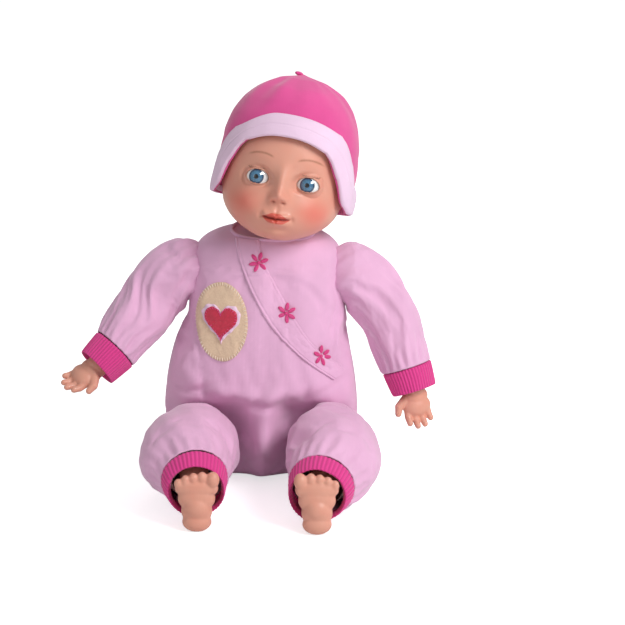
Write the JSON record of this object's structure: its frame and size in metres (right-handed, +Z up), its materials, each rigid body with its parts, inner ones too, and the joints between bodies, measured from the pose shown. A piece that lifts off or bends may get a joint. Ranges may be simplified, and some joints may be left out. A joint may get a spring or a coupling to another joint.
{
  "type": "interactive baby doll",
  "caption": "Seated soft-bodied baby doll with a vinyl head, hands and feet, closing eyes, a wrap romper and cuffed hat, and a sound module with a press button in its tummy.",
  "frame": {"origin": "middle of the seat, on the plane that the doll sits on", "axes": "+Z up, the doll faces -Y, +X to a viewer's right who faces it"},
  "size_m": [0.3055, 0.2232, 0.3303],
  "materials": {
    "romper_jersey": "light pink cotton jersey",
    "magenta_jersey": "hot pink cotton jersey",
    "magenta_rib": "hot pink ribbed jersey",
    "magenta_thread": "satin-stitched embroidery thread",
    "tan_felt": "short-pile felt",
    "red_satin": "red woven cloth",
    "body_cloth": "plain woven body cloth",
    "fibre_fill": "polyester fibre fill",
    "nylon_tie": "nylon cable tie",
    "hook_and_loop": "hook-and-loop tape",
    "module_plastic": "moulded plastic, fine texture",
    "screw_steel": "zinc-plated steel",
    "weight_steel": "raw steel",
    "cell_jacket": "printed metal jacket, no lettering",
    "contact_nickel": "nickel-plated spring steel",
    "board_green": "solder-masked circuit board",
    "switch_black": "black plastic",
    "button_plastic": "pink moulded plastic",
    "speaker_frame": "pressed steel",
    "speaker_paper": "plastic film cone",
    "vinyl_skin": "soft matt vinyl, painted cheeks and lips",
    "inner_plastic": "moulded plastic",
    "eye_gloss": "glossy eyeball with a blue iris"
  },
  "bodies": {
    "torso": {"romper_body": "romper_jersey", "torso_cloth": "body_cloth", "torso_stuffing": "fibre_fill", "neck_tie": "nylon_tie", "neckline_binding": "romper_jersey", "wrap_placket": "romper_jersey", "embroidered_flowers": "magenta_thread", "motif_felt": "tan_felt", "motif_heart": "red_satin", "back_closure": "hook_and_loop", "case_front": "module_plastic", "case_back": "module_plastic", "case_screws": "screw_steel", "batteries": "cell_jacket", "battery_contacts": "contact_nickel", "circuit_board": "board_green", "tact_switch": "switch_black", "speaker": "speaker_frame", "speaker_cone": "speaker_paper"},
    "battery_cover": {"battery_door": "module_plastic", "battery_door_screw": "screw_steel"},
    "speech_button": {"press_button": "button_plastic"},
    "switch_knob": {"power_switch": "switch_black"},
    "head": {"head_shell": "vinyl_skin", "neck_plug": "inner_plastic", "eye_bracket": "inner_plastic"},
    "eyes": {"eyeball_left": "eye_gloss", "eyeball_right": "eye_gloss", "eye_axle": "screw_steel", "eye_weight": "weight_steel"},
    "hat": {"hat_crown": "magenta_jersey", "hat_brim": "romper_jersey", "hat_tip": "magenta_jersey"},
    "arm_left": {"sleeve_left": "romper_jersey", "sleeve_cuff_left": "magenta_rib", "upper_arm_left": "body_cloth", "arm_tie_left": "nylon_tie", "hand_left": "vinyl_skin"},
    "arm_right": {"sleeve_right": "romper_jersey", "sleeve_cuff_right": "magenta_rib", "upper_arm_right": "body_cloth", "arm_tie_right": "nylon_tie", "hand_right": "vinyl_skin"},
    "leg_left": {"trouser_leg_left": "romper_jersey", "trouser_cuff_left": "magenta_rib", "thigh_left": "body_cloth", "leg_tie_left": "nylon_tie", "foot_left": "vinyl_skin"},
    "leg_right": {"trouser_leg_right": "romper_jersey", "trouser_cuff_right": "magenta_rib", "thigh_right": "body_cloth", "leg_tie_right": "nylon_tie", "foot_right": "vinyl_skin"}
  },
  "joints": [
    {"name": "head_turn", "type": "hinge", "parent": "torso", "child": "head", "pos_m": [0.009, 0.013, 0.2], "axis": [0.0523, 0.1044, 0.9932], "range_deg": [-60, 60]},
    {"name": "eyes_close", "type": "hinge", "parent": "head", "child": "eyes", "pos_m": [0.01649, -0.03278, 0.25676], "axis": [0.9824, -0.0988, -0.1585], "range_deg": [0, 70]},
    {"name": "hat_lift", "type": "slide", "parent": "head", "child": "hat", "axis": [0.1736, 0.171, 0.9698], "range_m": [0, 0.14]},
    {"name": "arm_swing_left", "type": "hinge", "parent": "torso", "child": "arm_left", "pos_m": [-0.062, 0.014, 0.173], "axis": [1, 0, 0], "range_deg": [-100, 35]},
    {"name": "arm_swing_right", "type": "hinge", "parent": "torso", "child": "arm_right", "pos_m": [0.07, 0.014, 0.17], "axis": [1, 0, 0], "range_deg": [-100, 35]},
    {"name": "leg_swing_left", "type": "hinge", "parent": "torso", "child": "leg_left", "pos_m": [-0.056, -0.045, 0.0385], "axis": [1, 0, 0], "range_deg": [-35, 0]},
    {"name": "leg_swing_right", "type": "hinge", "parent": "torso", "child": "leg_right", "pos_m": [0.057, -0.045, 0.0385], "axis": [1, 0, 0], "range_deg": [-35, 0]},
    {"name": "button_press", "type": "slide", "parent": "torso", "child": "speech_button", "axis": [0, 1, 0], "range_m": [0, 0.0022], "stiffness_N_per_m": 600, "springref_m": -0.001},
    {"name": "switch_slide", "type": "slide", "parent": "torso", "child": "switch_knob", "axis": [1, 0, 0], "range_m": [0, 0.003]},
    {"name": "battery_cover_off", "type": "slide", "parent": "torso", "child": "battery_cover", "axis": [0, 1, 0], "range_m": [0, 0.009]}
  ]
}
